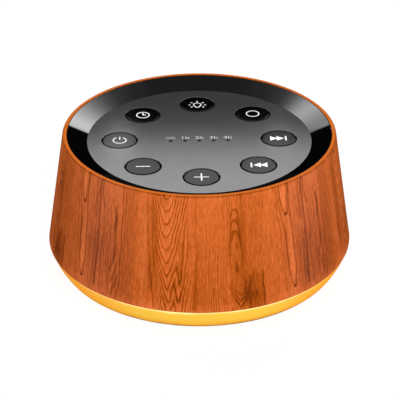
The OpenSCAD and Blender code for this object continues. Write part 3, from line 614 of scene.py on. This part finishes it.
# ---------------------------------------------------------------- deck
# A bezel moulded in polished black slopes down to the panel. It rests on the shell's ledge and
# holds up the deck, a plain black disc with the button guides and the pillars under it.
bezel = Finish("gloss_black_bezel", {"Base Color": srgb(6, 6, 7), "Specular IOR Level": 0.5})
haze = bezel.noise(bezel.place, 0.08, 3)
bezel.put({"Roughness": 0.02 + haze * 0.03})
bezel.bump(bezel.noise(bezel.place, 0.05, 1), 0.03, 0.15)
bezel.cover("deck_bezel")

deck = Finish("black_deck", {"Base Color": srgb(12, 12, 13), "Specular IOR Level": 0.2})
grit = deck.noise(deck.place, 3, 3, 0.6)
deck.put({"Roughness": 0.5 + grit * 0.15})
deck.bump(grit, 0.02, 0.5)
deck.cover("top_deck")


# ---------------------------------------------------------------- panel
# A disc of black plastic under a satin grey film, let into the deck, with a hole for each button
# and a pin hole under a smoked window for each timer light. The hours are printed on it.
FILM_T = 0.05
FILM_EDGE = 0.025
TIMER_PITCH = 5.1
TIMER_WINDOW_R = 0.68
panel_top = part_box("control_panel")[1].z / MM
timer_y = sum(corner.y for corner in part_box("timer_leds")) / 2 / MM
panel = Finish("grey_panel", {"Specular IOR Level": 0.8})
z = panel.split(panel.place)[2]
core = ((panel_top - FILM_T - z) / FILM_EDGE).clip()
panel.put({"Base Color": panel.mix(core, srgb(57, 57, 59), srgb(9, 9, 9))})
grit = panel.noise(panel.place, 9, 2)
cloud = panel.noise(panel.place, 0.12, 2)
panel.put({"Roughness": 0.14 + cloud * 0.05})
panel.bump(grit, 0.006, 0.3)
panel.cover("control_panel")

LABEL_Y = 1.25
LABEL_SIZE = 2.7
LABEL_STRETCH = 1.17
HOOP_OFF, HOOP_R, HOOP_STROKE = 0.85, 0.72, 0.15
PRINT_DEPTH = 0.02

ink = Finish("label_ink", {"Base Color": srgb(208, 208, 208), "Roughness": 0.5})


def bar(shape, centre, size, turn=0, round_off=0.45):
    """Adds a flat bar with rounded ends to a sign."""
    made = bmesh.ops.create_cube(shape, size=1)["verts"]
    bmesh.ops.scale(shape, vec=(size[0], size[1], PRINT_DEPTH * 2), verts=made)
    upright = [e for e in {e for v in made for e in v.link_edges}
               if abs(e.verts[0].co.z - e.verts[1].co.z) > PRINT_DEPTH]
    made = bmesh.ops.bevel(shape, geom=upright, offset=min(size) * round_off, segments=3,
                           profile=0.5, affect="EDGES", material=-1)["verts"]
    island = linked(made)
    bmesh.ops.rotate(shape, cent=(0, 0, 0), matrix=Matrix.Rotation(turn, 3, "Z"), verts=island)
    bmesh.ops.translate(shape, vec=(*centre, 0), verts=island)


def linked(verts):
    """All the vertices that hang together with these."""
    found, todo = set(), list(verts)
    while todo:
        vert = todo.pop()
        if vert not in found:
            found.add(vert)
            todo.extend(e.other_vert(vert) for e in vert.link_edges)
    return list(found)


def hoop(shape, centre, radius, stroke, start=0, sweep=360, steps=48):
    """Adds a flat ring, or a part of one from the angle start, to a sign."""
    half, deep = stroke / 2, PRINT_DEPTH
    section = [shape.verts.new((radius + s, 0, h))
               for s, h in ((-half, -deep), (half, -deep), (half, deep), (-half, deep))]
    edges = [shape.edges.new((section[i], section[(i + 1) % 4])) for i in range(4)]
    bmesh.ops.rotate(shape, cent=(0, 0, 0), verts=section,
                     matrix=Matrix.Rotation(math.radians(start), 3, "Z"))
    bmesh.ops.spin(shape, geom=section + edges, cent=(0, 0, 0), axis=(0, 0, 1),
                   angle=math.radians(sweep), steps=steps, use_merge=sweep == 360)
    island = linked(section)
    ends = [e for v in island for e in v.link_edges if len(e.link_faces) == 1]
    if ends:
        bmesh.ops.holes_fill(shape, edges=list(set(ends)), sides=4)
    bmesh.ops.translate(shape, vec=(*centre, 0), verts=island)


def arrow(shape, centre, length, height, way):
    """Adds a solid triangle that points along X, one way or the other."""
    made = bmesh.ops.create_cone(shape, cap_ends=True, segments=3, radius1=1, radius2=1,
                                 depth=PRINT_DEPTH * 2)["verts"]
    tip = made[0].co.copy()
    bmesh.ops.rotate(shape, cent=(0, 0, 0), verts=made,
                     matrix=Matrix.Rotation(-math.atan2(tip.y, tip.x), 3, "Z"))
    bmesh.ops.translate(shape, vec=(-0.25, 0, 0), verts=made)
    bmesh.ops.scale(shape, vec=(length / 1.5, height / math.sqrt(3), 1), verts=made)
    if way < 0:
        bmesh.ops.rotate(shape, cent=(0, 0, 0), verts=made, matrix=Matrix.Rotation(math.pi, 3, "Z"))
    bmesh.ops.translate(shape, vec=(*centre, 0), verts=made)


def lay_print(name, shape, place, material, body):
    """Puts a sign on what it is printed on."""
    bmesh.ops.recalc_face_normals(shape, faces=shape.faces)
    bmesh.ops.translate(shape, vec=place, verts=shape.verts)
    piece = add_piece(name, shape, material)
    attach(piece, body)
    return piece


for i, words in enumerate(["", "1h", "2h", "3h", "4h"]):
    x_label = (i - 2) * TIMER_PITCH
    shape = bmesh.new()
    if words:
        text = bpy.data.curves.new("label", "FONT")
        text.body = words
        text.size = LABEL_SIZE
        text.align_x = "CENTER"
        text.align_y = "CENTER"
        text.extrude = PRINT_DEPTH
        text.resolution_u = 4
        holder = bpy.data.objects.new("label", text)
        scene.collection.objects.link(holder)
        bpy.context.view_layer.update()
        letters = bpy.data.meshes.new_from_object(holder)
        shape.from_mesh(letters)
        bpy.data.objects.remove(holder)
        bpy.data.meshes.remove(letters)
        bmesh.ops.remove_doubles(shape, verts=shape.verts, dist=0.0005)
        bmesh.ops.scale(shape, vec=(LABEL_STRETCH, 1, 1), verts=shape.verts)
    else:
        for side in (-1, 1):
            hoop(shape, (side * HOOP_OFF, 0), HOOP_R, HOOP_STROKE, steps=24)
    lay_print("hour_label_%d" % i, shape, (x_label, LABEL_Y, panel_top), ink.material, "case")

smoked = Finish("window_smoked", {"Base Color": srgb(5, 5, 5), "Roughness": 0.4, "Specular IOR Level": 0.03})
shape = bmesh.new()
for i in range(-2, 3):
    made = bmesh.ops.create_cone(shape, cap_ends=True, segments=24, radius1=TIMER_WINDOW_R,
                                 radius2=TIMER_WINDOW_R, depth=PRINT_DEPTH * 2)["verts"]
    bmesh.ops.translate(shape, vec=(i * TIMER_PITCH, timer_y, 0), verts=made)
lay_print("timer_windows", shape, (0, 0, panel_top), smoked.material, "case")


# ---------------------------------------------------------------- buttons
# Eight black caps in a soft satin finish, flush with the panel. A painted sheen makes the power
# cap a shade paler.
# Each carries its sign in white print and sits on the ivory plunger of its own switch.
CAPS = ["power", "timer", "light", "circle", "next", "previous", "volume_up", "volume_down"]
POWER_SHEEN_REACH = 7.75
cap = Finish("cap_black", {"Specular IOR Level": 0.12})
power_at = sum(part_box("cap_power"), Vector()) / 2 / MM
x, y, _ = cap.split(cap.place)
# Painted sheen: the power cap's colour is painted paler, as a reflection would make it.
power = ((x - power_at.x) ** 2 + (y - power_at.y) ** 2).math("LESS_THAN", POWER_SHEEN_REACH ** 2)
cap.put({"Base Color": cap.mix(power, srgb(4, 4, 5), srgb(54, 54, 55))})
cap.put({"Roughness": 0.1 + cap.noise(cap.place, 0.5, 2) * 0.04})
cap.bump(cap.noise(cap.place, 8, 2), 0.006, 0.3)
cap.cover(*("cap_" + name for name in CAPS))

# Painted glow: the white print gives off a weak light of its own, to stay bright.
sign_white_painted_glow = Finish("sign_white_painted_glow", {
    "Base Color": srgb(246, 246, 246), "Roughness": 0.45,
    "Emission Color": WHITE, "Emission Strength": 0.25})

RING_R = 2.3
STROKE = 0.36


def draw_power(shape):
    hoop(shape, (0, 0), RING_R, STROKE, start=120, sweep=300)
    bar(shape, (0, 1.65), (STROKE, 2.3))


def draw_timer(shape):
    hoop(shape, (0, -0.1), RING_R, STROKE)
    bar(shape, (0, 0.75), (0.45, 1.7))
    bar(shape, (0.5, -0.05), (1.35, 0.45))


def draw_light(shape):
    hoop(shape, (0, -0.4), 1.4, 0.3, start=-50, sweep=280, steps=24)
    for side in (-1, 1):
        bar(shape, (side * 0.75, -1.9), (0.36, 1.1), turn=-side * 0.3)
        bar(shape, (side * 2.05, 1.35), (0.95, 0.34), turn=side * 0.65)
        bar(shape, (side * 2.85, -0.5), (0.85, 0.36))
        bar(shape, (side * 2.1, -2.2), (0.95, 0.34), turn=-side * 0.65)
    bar(shape, (0, -2.5), (1.3, 0.34))
    bar(shape, (0, 2.1), (0.4, 1.2))


def draw_circle(shape):
    hoop(shape, (0, 0), RING_R, STROKE)


def draw_next(shape, way=1):
    for centre in (-1.75, 0.55):
        arrow(shape, (centre * way, 0), 2.65, 3.3, way)
    bar(shape, (2.5 * way, 0), (0.55, 3.3), round_off=0.2)


def draw_previous(shape):
    draw_next(shape, -1)


def draw_volume_up(shape):
    bar(shape, (0, 0), (5.2, 0.42), round_off=0.2)
    bar(shape, (0, 0), (0.5, 5.2), round_off=0.2)


def draw_volume_down(shape):
    bar(shape, (0, 0), (5.0, 0.45), round_off=0.2)


SIGNS = {"power": draw_power, "timer": draw_timer, "light": draw_light, "circle": draw_circle,
         "next": draw_next, "previous": draw_previous,
         "volume_up": draw_volume_up, "volume_down": draw_volume_down}
for name, draw in SIGNS.items():
    low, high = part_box("plunger_" + name)
    middle = (low + high) / 2 / MM
    cap_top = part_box("cap_" + name)[1].z / MM
    shape = bmesh.new()
    draw(shape)
    lay_print("sign_" + name, shape, (middle.x, middle.y, cap_top), sign_white_painted_glow.material,
              "button_" + name)

plunger = Finish("plunger_ivory", {"Base Color": srgb(232, 228, 214), "Roughness": 0.4})
plunger.bump(plunger.noise(plunger.place, 3, 2), 0.01, 0.3)
plunger.cover(*("plunger_" + name for name in CAPS))


# ---------------------------------------------------------------- light ring
# The foot ring is moulded in milky amber and lit from inside: palest just under the shell, and
# deepest at its lower edge. Towards its sides a painted shade darkens it, where less lamp light falls.
RING_H = 8.2
SIDE_SHADE_AMBER = srgb(250, 158, 40)
SIDE_FROM, SIDE_W, SIDE_SHADE_SHARE = 24, 22, 0.8
amber = Finish("amber_glow", {
    "Roughness": 0.35, "Specular IOR Level": 0.3, "Emission Strength": 0.46})
x, _, z = amber.split(amber.place)
rise = (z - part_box("light_ring")[0].z / MM) / RING_H
milk = (amber.noise(amber.place, 0.16, 2) - 0.5) * 0.12
glow = amber.node("ShaderNodeValToRGB", {"stops": [
    (0.0, srgb(150, 100, 30)), (1.0, srgb(255, 236, 160)), (0.07, srgb(168, 110, 30)),
    (0.13, srgb(224, 160, 46)), (0.4, srgb(228, 180, 59)), (0.88, srgb(230, 182, 62))]}, [rise + milk])
# Painted shade: the glow and colour turn deeper towards the sides, where less lamp light falls.
sides = ((x.math("ABSOLUTE") - SIDE_FROM) / SIDE_W).clip()
glow = amber.mix(sides * SIDE_SHADE_SHARE, glow, SIDE_SHADE_AMBER)
amber.put({"Emission Color": glow, "Base Color": glow})
amber.bump(amber.noise(amber.place, 1.2, 2), 0.02, 0.1)
amber.cover("light_ring")


# ---------------------------------------------------------------- plain finishes
# Most hidden pieces are moulded, plated or sprayed in one colour. Each still has its grain:
# a slight change of tone and gloss, and a fine relief at the scale of its own process.
def grained(name, colour, roughness, scale, relief, spread=0.12, metallic=0.0, along=(1, 1, 1)):
    """A finish of one colour, whose grain has a scale per millimetre and a relief in millimetres."""
    finish = Finish(name, {"Metallic": metallic})
    place = finish.stretch(finish.place, *along)
    grain = finish.noise(place, scale, 3, 0.6)
    cloud = finish.noise(finish.place, scale * 0.12, 2)
    tone = ((grain - 0.5) + (cloud - 0.5)) * spread + 1
    shade = finish.node("ShaderNodeCombineXYZ", {}, [tone, tone, tone])
    finish.put({"Base Color": finish.mix(1.0, colour, shade, "MULTIPLY")})
    finish.put({"Roughness": roughness + (cloud - 0.5) * 0.2})
    finish.bump(grain, relief, 0.5)
    return finish


# ---------------------------------------------------------------- base
# The base plate is moulded with a fine spark-eroded texture and carries a perforated steel
# disc, sprayed black, in front of the loudspeaker. Rubber feet are glued into its pockets.
grained("base_black", srgb(30, 30, 31), 0.55, 2.4, 0.03).cover("base_cover")
grained("grille_spray", srgb(24, 24, 25), 0.42, 5.0, 0.01, metallic=0.2).cover("speaker_grille")
grained("foot_rubber", srgb(38, 38, 39), 0.78, 1.6, 0.05).cover("foot_pads")
grained("screw_zinc", srgb(176, 176, 172), 0.3, 3.0, 0.01, metallic=1.0, along=(1, 1, 0.2)).cover(
    "case_screws", "board_screws", "speaker_screws", "power_board_screws")


# ---------------------------------------------------------------- power inlet
# A drawn and nickel-plated shell stands just inside the slot at the back, with its tongue in
# the middle. Gold contacts lie along both faces of the tongue.
grained("inlet_nickel", srgb(196, 198, 202), 0.26, 4.0, 0.006, metallic=1.0).cover("power_inlet")

CONTACTS = 12
CONTACT_PITCH = 0.5
CONTACT_SIZE = (0.25, 3.2, 0.06)
CONTACT_INSET = 2.9
CONTACT_OFF = 0.36
gold = grained("contact_gold", srgb(222, 176, 84), 0.25, 6.0, 0.004, metallic=1.0)
low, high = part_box("power_inlet")
inlet = (low + high) / 2 / MM
shape = bmesh.new()
for i in range(CONTACTS):
    for side in (-1, 1):
        made = bmesh.ops.create_cube(shape, size=1)["verts"]
        bmesh.ops.scale(shape, vec=CONTACT_SIZE, verts=made)
        spot = ((i - (CONTACTS - 1) / 2) * CONTACT_PITCH, high.y / MM - CONTACT_INSET,
                inlet.z + side * CONTACT_OFF)
        bmesh.ops.translate(shape, vec=spot, verts=made)
contacts = add_piece("inlet_contacts", shape, gold.material)
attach(contacts, "case")


# ---------------------------------------------------------------- electronics
# Fibreglass boards under green or white mask, with fine copper tracks that show through, black
# moulded chips, bright cans and nylon plugs.
TRACK_PITCH = 1.27
TRACK_SHARE = 0.28


def masked_board(name, colour, track):
    finish = Finish(name, {"Roughness": 0.38})
    x, y, _ = finish.split(finish.place)
    zone = finish.noise(finish.place, 0.13, 0).math("GREATER_THAN", 0.5)
    along = (x / TRACK_PITCH).math("FRACT").math("LESS_THAN", TRACK_SHARE)
    cross = (y / TRACK_PITCH).math("FRACT").math("LESS_THAN", TRACK_SHARE)
    lines = along * zone + cross * (1 - zone)
    finish.put({"Base Color": finish.mix(lines * 0.6, colour, track)})
    finish.bump(lines, 0.03, 0.5)
    return finish


masked_board("green_mask", srgb(24, 84, 48), srgb(70, 132, 70)).cover("control_board", "power_board")
masked_board("white_mask", srgb(236, 236, 230), srgb(214, 214, 204)).cover("light_board")
grained("switch_black", srgb(34, 34, 36), 0.5, 2.0, 0.02).cover("tact_switches")
grained("chip_epoxy", srgb(26, 26, 28), 0.62, 3.0, 0.02).cover("sound_chip", "small_chips")
grained("can_bright", srgb(206, 208, 212), 0.24, 2.0, 0.01, metallic=1.0, along=(1, 1, 0.1)).cover(
    "capacitors")
grained("nylon_cream", srgb(234, 229, 214), 0.45, 1.5, 0.02).cover("board_sockets")
grained("lamp_phosphor", srgb(250, 230, 140), 0.4, 3.0, 0.01).cover("ring_leds")
grained("lens_smoked", srgb(24, 24, 25), 0.6, 3.0, 0.01).cover("timer_leds")
grained("shroud_rubber", srgb(26, 26, 26), 0.7, 2.0, 0.02).cover("led_shroud")
grained("jacket_black", srgb(34, 34, 36), 0.5, 1.2, 0.03).cover("speaker_lead")
grained("jacket_white", srgb(222, 218, 208), 0.5, 1.2, 0.03).cover("light_lead")
grained("jacket_red", srgb(168, 40, 44), 0.5, 1.2, 0.03).cover("power_lead")


# ---------------------------------------------------------------- loudspeaker
# A small driver that plays down through the base: pressed steel frame, ferrite ring between
# plated plates, paper cone on a rubber roll, and a resin-dipped cloth spider.
def woven(name, colour, pitch, roughness, depth):
    finish = Finish(name, {"Roughness": roughness})
    x, y, _ = finish.split(finish.place)
    warp = (x * (math.tau / pitch)).math("SINE")
    weft = (y * (math.tau / pitch)).math("SINE")
    cloth = warp * weft * 0.5 + 0.5
    tone = 0.8 + cloth * 0.35
    shade = finish.node("ShaderNodeCombineXYZ", {}, [tone, tone, tone])
    finish.put({"Base Color": finish.mix(1.0, colour, shade, "MULTIPLY")})
    finish.bump(cloth, depth, 0.6)
    return finish


grained("frame_spray", srgb(40, 41, 44), 0.5, 3.0, 0.02).cover("speaker_frame")
grained("plate_zinc", srgb(178, 180, 184), 0.32, 2.0, 0.01, metallic=1.0).cover(
    "speaker_top_plate", "speaker_yoke")
grained("ferrite", srgb(58, 58, 62), 0.55, 1.6, 0.03, spread=0.3).cover("speaker_magnet")
grained("foam", srgb(48, 48, 48), 0.85, 2.6, 0.1).cover("speaker_gasket")
grained("terminal_tin", srgb(196, 170, 104), 0.4, 3.0, 0.01, metallic=0.9).cover("speaker_terminals")
grained("cone_paper", srgb(58, 55, 50), 0.8, 2.2, 0.08, spread=0.4).cover("speaker_cone")
grained("coil_copper", srgb(184, 112, 62), 0.35, 6.0, 0.03, metallic=0.9, along=(0.1, 0.1, 1)).cover(
    "voice_coil")
woven("dust_cap_cloth", srgb(44, 42, 38), 0.5, 0.75, 0.05).cover("dust_cap")
grained("roll_rubber", srgb(30, 30, 30), 0.6, 1.4, 0.03).cover("cone_surround")
woven("spider_cloth", srgb(188, 148, 82), 0.6, 0.8, 0.08).cover("cone_spider")

# Widths of the surround's flat flange and its roll, and of the spider's flat rim.
FLANGE_W = 2.1
ROLL_W = 2.8
PLEATS_END = 2.3


def bending_ring(node, name, rim, middle):
    """A ring that stays still outside one radius and moves with the cone inside the other."""
    mesh = nodes[node].data.copy()
    piece = bpy.data.objects.new(name, mesh)
    scene.collection.objects.link(piece)
    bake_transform(piece, "case", "cone", start=(rim * MM, 0, 0), end=(middle * MM, 0, 0))
    shares = []
    for vert in mesh.vertices:
        t = min(max((rim * MM - vert.co.xy.length) / ((rim - middle) * MM), 0), 1)
        shares.append(t * t * (3 - 2 * t))
    # A blend runs along a line, and the ring bends along every radius.
    mesh.attributes["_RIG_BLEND"].data.foreach_set("value", shares)
    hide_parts(node)


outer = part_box("cone_surround")[1].x / MM - FLANGE_W
bending_ring("cone_surround", "surround_roll", outer, outer - ROLL_W)
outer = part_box("cone_spider")[1].x / MM - PLEATS_END
bending_ring("cone_spider", "spider_pleats", outer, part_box("voice_coil")[1].x / MM)


# ---------------------------------------------------------------- reflections
# The gloss shows the room and its cards, and none of the machine itself.
for piece in bpy.data.objects:
    if piece.type == "MESH" and piece not in (floor, card, screen, cloth):
        piece.visible_glossy = False
